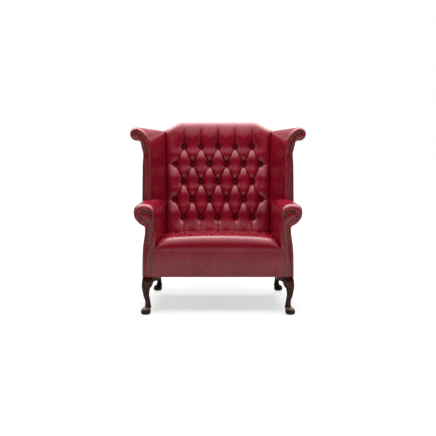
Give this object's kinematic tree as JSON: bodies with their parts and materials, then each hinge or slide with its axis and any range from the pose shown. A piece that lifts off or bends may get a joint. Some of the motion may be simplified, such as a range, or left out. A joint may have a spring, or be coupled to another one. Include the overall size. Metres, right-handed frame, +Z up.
{
  "type": "cuddle chair",
  "caption": "Wide high-backed wing chair with a deep-buttoned back and seat, scrolled arms and wings edged with nails, and cabriole legs.",
  "frame": {"origin": "centre of the bounding box, on the floor under the feet", "axes": "+Z up; the sitter faces -Y; +X is the right side as seen by someone who stands in front of the chair and looks at it"},
  "size_m": [1.0362, 0.8308, 1.086],
  "materials": {
    "leather": "satin oxblood red with a darker rub in the folds",
    "leg_wood": "dark mahogany stain under a satin lacquer",
    "frame_wood": "sawn beech, unfinished",
    "nails": "antiqued",
    "webbing": "woven jute and elastic strap",
    "platform_cloth": "hessian",
    "dust_cloth": "thin black lining",
    "steel": "zinc plated",
    "glide": "brown nylon"
  },
  "bodies": {
    "root": {"front_seat_rail": "frame_wood", "rear_seat_rail": "frame_wood", "corner_blocks": "frame_wood", "frame_dowels": "frame_wood", "back_top_rail": "frame_wood", "back_bottom_rail": "frame_wood", "seat_webbing": "webbing", "seat_platform": "platform_cloth", "back_webbing": "webbing", "back_platform": "platform_cloth", "seat_pad": "leather", "back_pad": "leather", "seat_buttons": "leather", "back_buttons": "leather", "outside_back": "leather", "dust_cover": "dust_cloth", "leg_bolts": "steel", "foot_glides": "glide", "right_side_seat_rail": "frame_wood", "left_side_seat_rail": "frame_wood", "right_back_post": "frame_wood", "left_back_post": "frame_wood", "right_arm_stump": "frame_wood", "left_arm_stump": "frame_wood", "right_arm_rail": "frame_wood", "left_arm_rail": "frame_wood", "right_wing_post": "frame_wood", "left_wing_post": "frame_wood", "right_wing_rail": "frame_wood", "left_wing_rail": "frame_wood", "right_arm_pad": "leather", "left_arm_pad": "leather", "right_wing_pad": "leather", "left_wing_pad": "leather", "right_arm_facing": "leather", "left_arm_facing": "leather", "right_wing_facing": "leather", "left_wing_facing": "leather", "right_arm_nail_trim": "nails", "left_arm_nail_trim": "nails", "right_wing_nail_trim": "nails", "left_wing_nail_trim": "nails", "right_outside_arm": "leather", "left_outside_arm": "leather", "right_outside_wing": "leather", "left_outside_wing": "leather", "right_front_leg": "leg_wood", "left_front_leg": "leg_wood", "right_rear_leg": "leg_wood", "left_rear_leg": "leg_wood"}
  },
  "joints": []
}
